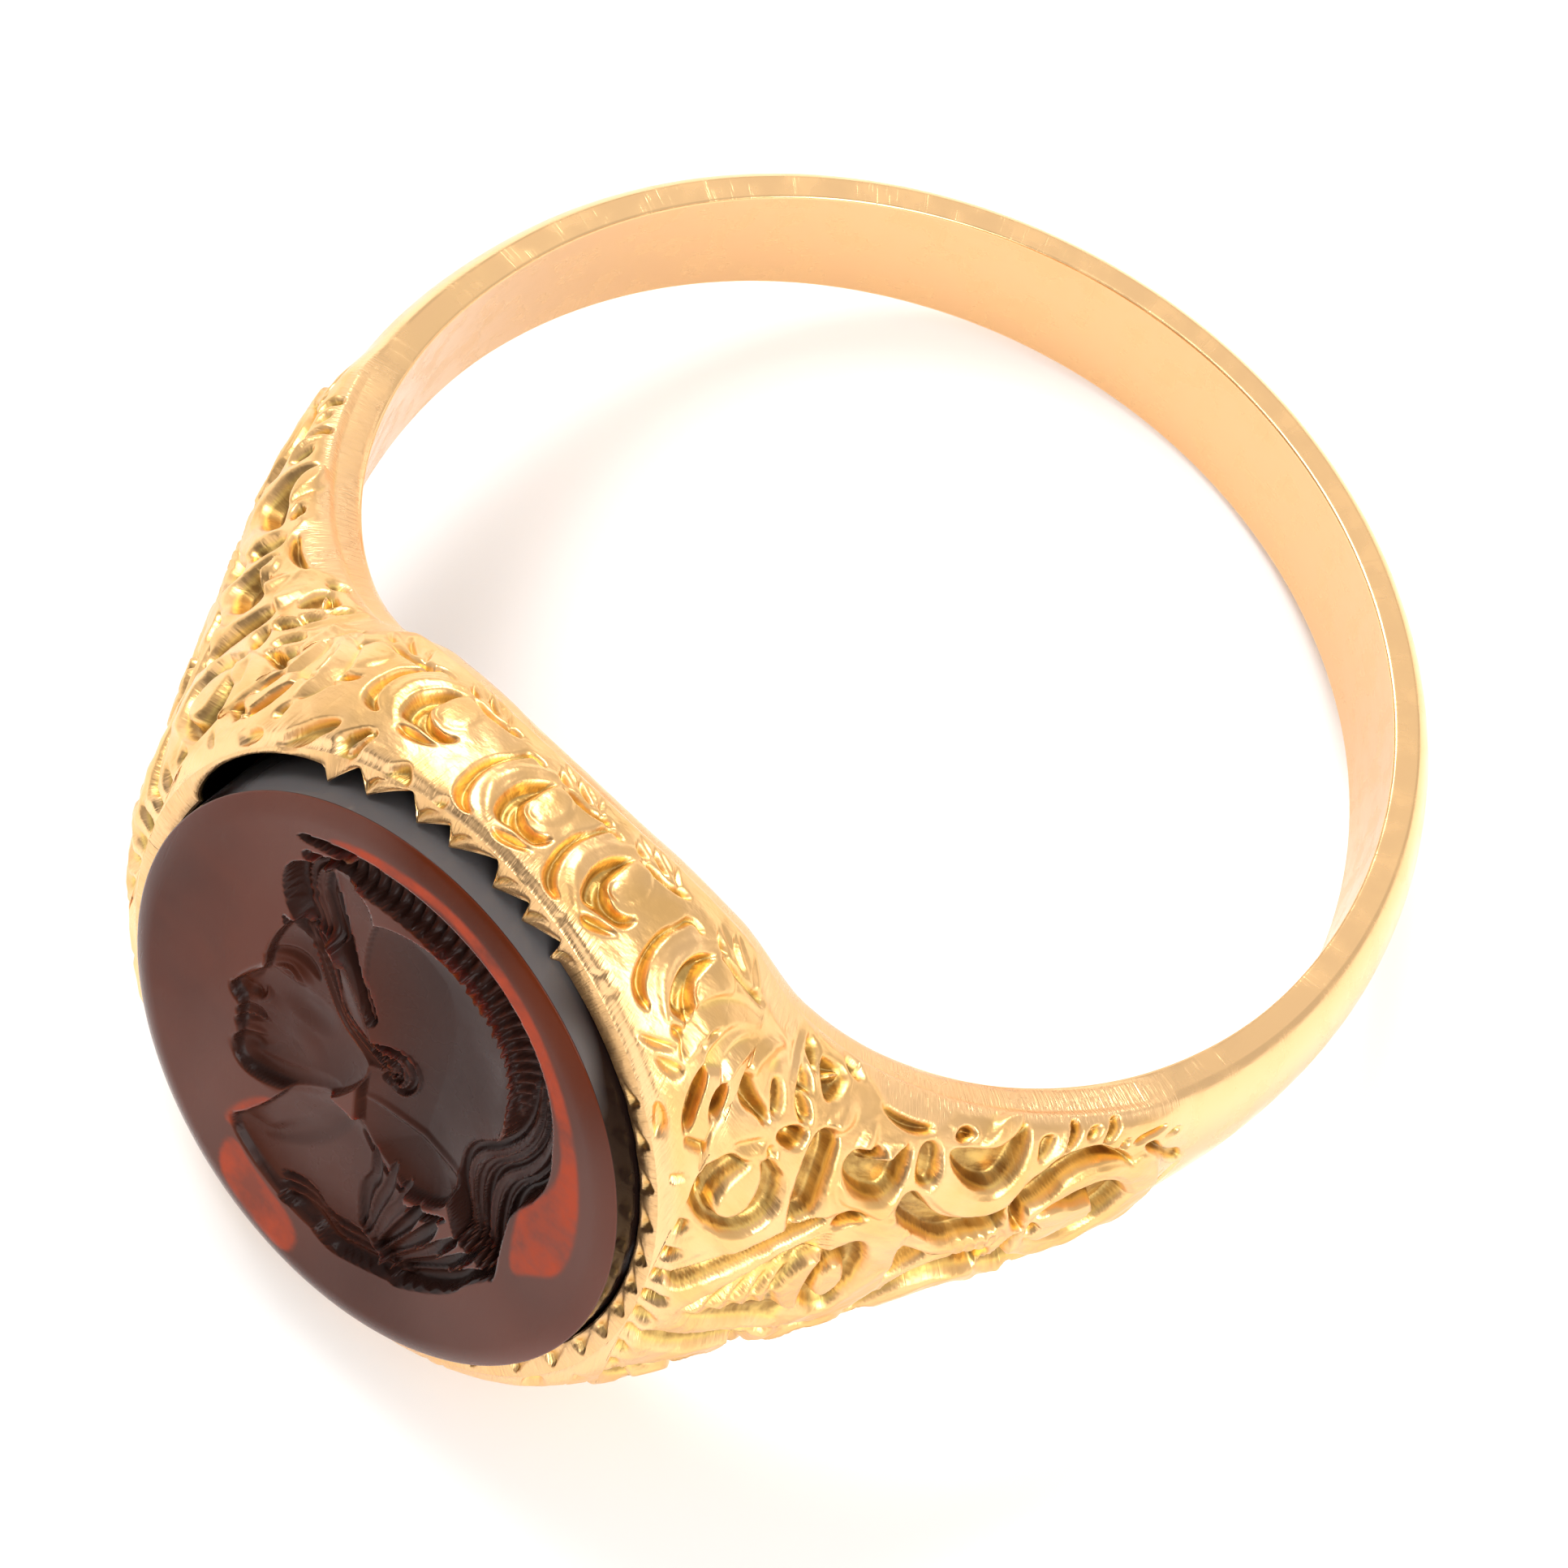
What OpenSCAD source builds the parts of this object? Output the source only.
// Intaglio signet ring: a carved gold ring body and an oval stone with a helmeted head cut into it.
// Millimetres. The ring lies on its side, as it comes to rest by itself, with the stone facing -Y.

/* [Finger hole and shank] */
// Diameter of the finger hole
finger_d = 18; // [14:0.1:23]
// Width of the shank at its back, along the finger
shank_w = 2.56; // [1.6:0.02:5]
// Thickness of the shank at its back
shank_t = 0.87; // [0.6:0.01:2]
// Height of the flat facet on each side of the shank
facet_h = 0.4; // [0.2:0.01:0.55]

/* [Head] */
// Width of the finger hole's wall under the stone, along the finger
head_w = 12.9; // [10:0.05:17]
// Height of the gold edge round the stone over the finger hole
head_h = 2.55; // [2:0.01:4]
// How far the side of the head swells out past the finger hole's rim
swell = 0.72; // [0.3:0.01:1]
// How high over the finger hole the side of the head is widest
swell_h = 1.4; // [0.8:0.01:1.8]
// Gold left beyond the stone, round the finger
lip_round = 0.41; // [0.25:0.01:0.8]
// Gold left beyond the stone, along the finger
lip_along = 0.63; // [0.35:0.01:0.72]
// Power of the rounded section, where 2 is an ellipse
section_power = 2.2; // [1.8:0.05:3]

/* [Stone] */
// Length of the stone, along the finger
stone_l = 12.62; // [9:0.02:14]
// Breadth of the stone, round the finger
stone_b = 10.18; // [8:0.02:12]
// How far the stone stands out of the gold
stone_proud = 0.6; // [0.3:0.01:1.2]
// Depth of the seat under the gold edge
seat_depth = 1.5; // [0.9:0.01:1.7]
// Clearance between the stone and its seat
seat_gap = 0.04; // [0.02:0.005:0.1]
// Width of the rounded rim round the stone's face
rim_w = 0.42; // [0.2:0.01:0.8]
// Drop of that rim at the girdle
rim_drop = 0.12; // [0.05:0.01:0.3]

/* [Carving] */
// Deepest cut of the carved head
carve_depth = 0.62; // [0.2:0.01:0.9]
// Height of the carved head on the stone, from the crest to the cut of the neck
bust_h = 10; // [6:0.05:10.6]

/* [Ornament] */
// Height of the chased relief
relief_h = 0.24; // [0.1:0.01:0.35]
// Diameter of a rosette, from which the other motifs take their sizes
rosette_d = 1.35; // [0.9:0.01:1.7]
// Plain strip along the finger hole's rim
plain_strip = 0.5; // [0.3:0.01:0.9]

/* [Hidden] */

finger_r = finger_d / 2;
top_y = finger_r + head_h;
face_y = top_y + stone_proud;
half_l = stone_l / 2;
half_b = stone_b / 2;
edge_l = half_l + lip_along;
edge_b = half_b + lip_round;
edge_angle = atan2(edge_b, top_y);
edge_t = top_y / cos(edge_angle) - finger_r;

// Columns: angle from the head, share of the way from the shank's width to the head's.
WIDTHS = [[0, 1], [10, 0.96], [20, 0.82], [30, 0.515], [40, 0.335], [55, 0.18], [75, 0.066], [95, 0.01], [180, 0]];
// Columns: share of the angle from the gold edge to the back, share of the way from the shank's
// thickness to the edge's.
RIDGE = [[0, 1], [0.06, 0.645], [0.16, 0.25], [0.32, 0.04], [0.55, 0.01], [1, 0]];

// Motifs on each side of the ring. Columns: kind, angle from the head, distance from the finger
// hole's rim, half length along the band, half width across it, turn, height share. The lengths
// are shares of rosette_d.
BOSS = 0;
RINGED = 1;
LEAF = 2;
SIDE_MOTIFS = [
    [BOSS, 0, 1.22, 0.36, 0.36, 0, 1],
    [LEAF, 5.3, 1.25, 0.62, 0.2, 84, 0.75],
    [BOSS, 10.6, 1.23, 0.36, 0.36, 0, 1],
    [LEAF, 15.6, 1.3, 0.66, 0.2, 82, 0.75],
    [BOSS, 20.5, 1.32, 0.36, 0.36, 0, 1],
    [LEAF, 25, 1.65, 0.75, 0.24, 62, 0.9],
    [LEAF, 29, 1.3, 0.7, 0.24, 66, 0.9],
    [RINGED, 31, 2.9, 0.55, 0.98, -14, 1],
    [LEAF, 35, 1.3, 0.75, 0.26, 72, 0.9],
    [RINGED, 41, 1.6, 0.62, 0.68, 0, 1],
    [RINGED, 51, 1.35, 0.75, 0.68, 0, 1],
    [RINGED, 62, 1.75, 0.85, 0.8, 0, 1],
    [LEAF, 70.5, 0.95, 0.7, 0.24, 35, 0.8],
    [LEAF, 73, 1.7, 0.6, 0.22, 25, 0.7]
];
// The same on the middle of each shoulder, measured from the middle line.
RIDGE_MOTIFS = [
    [RINGED, 39, 0, 0.95, 0.85, 0, 1],
    [BOSS, 52, 0, 0.5, 0.5, 0, 0.8]
];
ORNAMENT_END = 76;
ORNAMENT_FADE = 4;

// Carved forms of the portrait. Columns: place round the finger, place along it, half length,
// half width, turn, depth share. The lengths are shares of bust_h.
BUST_FORMS = [
    [0.05, 0.14, 0.26, 0.19, 58, 1],
    [-0.14, -0.04, 0.21, 0.12, 78, 0.82],
    [-0.255, -0.05, 0.055, 0.035, 60, 0.5],
    [-0.2, -0.21, 0.07, 0.055, 20, 0.6],
    [-0.02, -0.27, 0.2, 0.11, 75, 0.75],
    [0.02, -0.42, 0.27, 0.07, 12, 0.6],
    [0.17, -0.25, 0.17, 0.09, -60, 0.72],
    [-0.2, 0.24, 0.17, 0.035, -62, 0.7],
    [-0.03, -0.09, 0.13, 0.05, -50, 0.62]
];
// The crest is an arc over the helmet, with locks cut across it. The lengths are shares of bust_h.
CREST_CENTRE = [0.03, 0.08];
CREST_RADII = [0.3, 0.36];
CREST_HALF_WIDTH = 0.055;
CREST_START = -46;
CREST_END = 148;

COLUMN_STEP = 1.4;
BACK_STEP = 9;
ROWS = 18;
FINE_WALL = 6;
FINE_DOME = 36;
CUT_SPARE = 0.3;
STONE_RINGS = 26;
STONE_SECTORS = 88;
MARGIN = 0.6;
STONE_SIDES = 96;

function clamp(v, low, high) = max(low, min(high, v));
function mix(a, b, t) = a + (b - a) * t;
function fade(low, high, v) = let (t = clamp((v - low) / (high - low), 0, 1)) t * t * (3 - 2 * t);

// Smooth curve through a table without overshoot.
function slope_of(t, i) = (t[i + 1][1] - t[i][1]) / (t[i + 1][0] - t[i][0]);
function tangent(t, i) =
    i <= 0 || i >= len(t) - 1 ? 0
    : let (a = slope_of(t, i - 1), b = slope_of(t, i)) a * b <= 0 ? 0 : 2 * a * b / (a + b);
function segment(t, x, i = 0) = i >= len(t) - 2 || x < t[i + 1][0] ? i : segment(t, x, i + 1);
function at(t, x) =
    let (
        i = segment(t, x),
        w = t[i + 1][0] - t[i][0],
        u = clamp((x - t[i][0]) / w, 0, 1)
    )
    t[i][1] * (2 * pow(u, 3) - 3 * u * u + 1) + tangent(t, i) * w * (pow(u, 3) - 2 * u * u + u)
    + t[i + 1][1] * (3 * u * u - 2 * pow(u, 3)) + tangent(t, i + 1) * w * (pow(u, 3) - u * u);

// Section of the ring at an angle from the head: [distance from the bore's axis, place along it].
function width_share(a) = at(WIDTHS, a);
function wall_half(a) = mix(shank_w, head_w, width_share(a)) / 2;
function wide_at(a) = mix(facet_h, swell_h, width_share(a));
function wide_half(a) = wall_half(a) + swell * width_share(a);
function edge_half(a) = edge_l * sqrt(max(0, 1 - pow(tan(a) / tan(edge_angle), 2)));
function ridge_t(a) = mix(shank_t, edge_t, at(RIDGE, (a - edge_angle) / (180 - edge_angle)));
function dome_h(a) =
    a >= edge_angle ? ridge_t(a) - wide_at(a)
    : (top_y / cos(a) - finger_r - wide_at(a))
        / pow(max(0.02, 1 - pow(min(0.99, edge_half(a) / wide_half(a)), section_power)), 1 / section_power);
function wall_point(a, k) =
    [finger_r + wide_at(a) * k, wall_half(a) + (wide_half(a) - wall_half(a)) * (1 - pow(1 - k, 2))];
function dome_point(a, angle) =
    [
        finger_r + wide_at(a) + dome_h(a) * pow(sin(angle), 2 / section_power),
        wide_half(a) * pow(cos(angle), 2 / section_power)
    ];
// From the rim up to the middle line, one side only.
function half_section(a) = [
    for (k = [0 : FINE_WALL - 1]) wall_point(a, k / FINE_WALL),
    for (j = [0 : FINE_DOME]) dome_point(a, 90 * j / FINE_DOME)
];

// Heights of the motifs, from 0 to 1. The places a and b are shares of the motif's half sizes.
function boss(q) = q >= 1 ? 0 : pow(cos(90 * q), 0.8);
function ringed(q) = q >= 1 ? 0 : q < 0.45 ? cos(150 * q) : max(0, sin(180 * (q - 0.5) / 0.5));
function leaf(a, b) = abs(a) >= 1 ? 0 : max(0, 1 - abs(b) / (1 - a * a));
function motif_height(kind, a, b) =
    let (q = sqrt(a * a + b * b)) kind == BOSS ? boss(q) : kind == RINGED ? ringed(q) : leaf(a, b);
function motif(m, along, across) =
    let (
        c = cos(m[5]),
        s = sin(m[5]),
        a = (along * c + across * s) / (m[3] * rosette_d),
        b = (across * c - along * s) / (m[4] * rosette_d)
    )
    abs(a) > 1 || abs(b) > 1 ? 0 : m[6] * motif_height(m[0], a, b);
function motifs(list, a, rho, across) =
    max([for (m = list) motif(m, (a - m[1]) * PI / 180 * rho, across - m[2] * rosette_d)]);
// Relief over a point of the section, with v its distance from the rim and c from the middle line.
function relief(a, rho, v, c) =
    a > ORNAMENT_END ? 0
    : relief_h * fade(ORNAMENT_END, ORNAMENT_END - ORNAMENT_FADE, a) * fade(plain_strip, plain_strip * 1.4, v)
        * max(
            motifs(SIDE_MOTIFS, a, rho, v),
            motifs(SIDE_MOTIFS, -a, rho, v),
            motifs(RIDGE_MOTIFS, a, rho, c)
        );

function lengths(p, i = 1, sum = 0, out = [0]) =
    i >= len(p) ? out
    : let (s = sum + norm(p[i] - p[i - 1])) lengths(p, i + 1, s, concat(out, [s]));
// The point of a line p at a length along it, where v holds the lengths of its points.
function along(p, v, length, i = 1) =
    i >= len(p) - 1 || v[i] >= length ? mix(p[i - 1], p[i], (length - v[i - 1]) / (v[i] - v[i - 1]))
    : along(p, v, length, i + 1);
function outward(before, after) = let (d = after - before) [-d[1], d[0]] / norm(d);
// Where the section leaves the part that stays under the gold edge, as a length from the rim.
function cut_length(a, p, v) =
    let (over = [for (i = [0 : len(p) - 1]) if (p[i][0] * cos(a) > top_y) v[i]])
    len(over) == 0 ? v[len(v) - 1] : over[0] + CUT_SPARE;
// The half section with its relief, in rows that are evenly spaced where they show.
function raised_half(a) =
    let (
        p = half_section(a),
        v = lengths(p),
        whole = v[len(v) - 1],
        shown = min(cut_length(a, p, v), whole * ROWS / (ROWS + 1)),
        at_rows = [for (i = [0 : ROWS]) shown * i / ROWS, whole],
        q = [for (s = at_rows) along(p, v, s)]
    )
    [
        q[0],
        for (i = [1 : ROWS])
            q[i] + outward(q[i - 1], q[i + 1]) * relief(a, q[i][0], at_rows[i], whole - at_rows[i]),
        q[ROWS + 1] + [relief(a, q[ROWS + 1][0], whole, 0), 0]
    ];
// The whole section. It starts and ends inside the bore, on the line that crosses the bore's wall at
// the rim, so that the bore's cylinder cuts the rim.
function loop_section(a) =
    let (
        h = raised_half(a),
        last = len(h) - 1,
        lean = (h[1][1] - h[0][1]) / (h[1][0] - h[0][0]),
        inner = [finger_r - MARGIN, h[0][1] - lean * MARGIN]
    )
    concat(
        [inner],
        [for (i = [1 : last]) h[i]],
        [for (i = [last - 1 : -1 : 1]) [h[i][0], -h[i][1]]],
        [[inner[0], -inner[1]]]
    );

// Angles from the head, from one side of the back round to the other.
HALF_ANGLES = [
    for (i = [0 : ceil(ORNAMENT_END / COLUMN_STEP) - 1]) i * ORNAMENT_END / ceil(ORNAMENT_END / COLUMN_STEP),
    for (i = [0 : ceil((180 - ORNAMENT_END) / BACK_STEP)])
        mix(ORNAMENT_END, 180, i / ceil((180 - ORNAMENT_END) / BACK_STEP))
];
HALF_LOOPS = [for (a = HALF_ANGLES) loop_section(a)];
HALF_COUNT = len(HALF_ANGLES);
LOOP = len(HALF_LOOPS[0]);
function column(i, sign) =
    [for (p = HALF_LOOPS[i]) [sign * p[0] * sin(HALF_ANGLES[i]), -p[0] * cos(HALF_ANGLES[i]), p[1]]];
COLUMNS = concat(
    [for (i = [0 : HALF_COUNT - 1]) column(i, 1)],
    [for (i = [HALF_COUNT - 2 : -1 : 1]) column(i, -1)]
);
BODY_POINTS = [for (c = COLUMNS) for (p = c) p];

function tube_faces(rings, sides) = [
    for (i = [0 : rings - 1])
        for (j = [0 : sides - 1])
            let (
                a = i * sides + j,
                b = i * sides + (j + 1) % sides,
                c = ((i + 1) % rings) * sides + (j + 1) % sides,
                d = ((i + 1) % rings) * sides + j
            )
            each [[a, c, b], [a, d, c]]
];

// How the ring lies: it turns about the line round the head until it rests on the head's side and
// on the back of the shank.
KEPT_POINTS = [for (c = COLUMNS) for (p = c) if (p[1] >= -top_y && p[2] <= 0) p];
HEAD_POINTS = [for (p = KEPT_POINTS) if (p[1] < 0) [p[1], p[2]]];
BACK_POINTS = [for (p = KEPT_POINTS) if (p[1] > finger_r * 0.9) [p[1], p[2]]];
function lowest(points, tilt) = max([for (p = points) p[0] * sin(tilt) - p[1] * cos(tilt)]);
function rest_tilt(low = 0, high = 45, steps = 24) =
    let (mid = (low + high) / 2)
    steps == 0 ? mid
    : lowest(HEAD_POINTS, mid) > lowest(BACK_POINTS, mid) ? rest_tilt(mid, high, steps - 1)
    : rest_tilt(low, mid, steps - 1);
tilt = rest_tilt();
floor_drop = lowest(HEAD_POINTS, tilt);
front = face_reach(tilt);
function face_reach(t) = max(face_y * cos(t) + (half_l - rim_w) * sin(t), (face_y - rim_drop) * cos(t) + half_l * sin(t));
back = max([for (c = COLUMNS) for (p = c) p[1] * cos(tilt) + p[2] * sin(tilt)]);

// The stone's carving. Places are [round the finger, along the finger] from the stone's centre.
function in_frame(p, m) =
    let (d = p - [m[0], m[1]] * bust_h, c = cos(m[4]), s = sin(m[4]))
    [(d[0] * c + d[1] * s) / (m[2] * bust_h), (d[1] * c - d[0] * s) / (m[3] * bust_h)];
function form(p, m) = let (q = norm(in_frame(p, m))) q >= 1 ? 0 : m[5] * sqrt(1 - q * q);
function crest(p) =
    let (
        d = p / bust_h - CREST_CENTRE,
        a = atan2(d[1], d[0]),
        radius = norm([CREST_RADII[0] * cos(a), CREST_RADII[1] * sin(a)]),
        off = abs(norm(d) - radius) / CREST_HALF_WIDTH,
        ends = fade(CREST_START - 8, CREST_START, a) * fade(CREST_END + 8, CREST_END, a)
    )
    off >= 1 ? 0 : ends * 0.7 * sqrt(1 - off * off);
function carved(p) = carve_depth * max(concat([for (m = BUST_FORMS) form(p, m)], [crest(p)]));
function face_drop(share, p) =
    let (in = (1 - share) * half_b)
    in < rim_w ? rim_drop * pow(1 - in / rim_w, 2) : carved(p);
STONE_FACE = [
    for (i = [1 : STONE_RINGS])
        for (j = [0 : STONE_SECTORS - 1])
            let (
                share = i / STONE_RINGS,
                a = 360 * j / STONE_SECTORS,
                p = [half_b * share * cos(a), half_l * share * sin(a)]
            )
            [p[0], -face_y + face_drop(share, p), p[1]]
];
stone_base_y = top_y - seat_depth + seat_gap;
STONE_BASE = [
    for (j = [0 : STONE_SECTORS - 1])
        let (a = 360 * j / STONE_SECTORS)
        [half_b * cos(a), -stone_base_y, half_l * sin(a)]
];
STONE_CENTRE = [0, -face_y + face_drop(0, [0, 0]), 0];

function oval(l, b, sides) = [for (i = [0 : sides - 1]) [b * cos(360 * i / sides), l * sin(360 * i / sides)]];

// Puts a piece modelled round the bore into the way that the ring lies.
module lying() {
    translate([0, (front - back) / 2, floor_drop])
        rotate([-tilt, 0, 0])
            children();
}

// An upright oval prism that reaches from one height over the bore to another, on the head's side.
module oval_prism(l, b, from, to) {
    translate([0, -from, 0])
        rotate([90, 0, 0])
            linear_extrude(height = to - from)
                polygon(oval(l, b, STONE_SIDES));
}

module ring_body() {
    color([0.86, 0.62, 0.3])
        lying()
            difference() {
                polyhedron(points = BODY_POINTS, faces = tube_faces(len(COLUMNS), LOOP), convexity = 6);
                translate([0, 0, -head_w])
                    cylinder(r = finger_r, h = 2 * head_w, $fn = 180);
                translate([-2 * edge_b, -top_y - 3 * head_h, -head_w])
                    cube([4 * edge_b, 3 * head_h, 2 * head_w]);
                oval_prism(half_l + seat_gap, half_b + seat_gap, top_y - seat_depth, top_y + head_h);
            }
}

module intaglio_stone() {
    first = 1;
    base = first + STONE_RINGS * STONE_SECTORS;
    color([0.36, 0.12, 0.07])
        lying()
            polyhedron(
                points = concat([STONE_CENTRE], STONE_FACE, STONE_BASE),
                faces = concat(
                    [for (j = [0 : STONE_SECTORS - 1]) [0, first + (j + 1) % STONE_SECTORS, first + j]],
                    [
                        for (i = [0 : STONE_RINGS - 1])
                            for (j = [0 : STONE_SECTORS - 1])
                                let (
                                    a = first + i * STONE_SECTORS + j,
                                    b = first + i * STONE_SECTORS + (j + 1) % STONE_SECTORS,
                                    c = b + STONE_SECTORS,
                                    d = a + STONE_SECTORS
                                )
                                each [[a, c, d], [a, b, c]]
                    ],
                    [[for (j = [0 : STONE_SECTORS - 1]) base + j]]
                ),
                convexity = 6
            );
}

ring_body();
intaglio_stone();
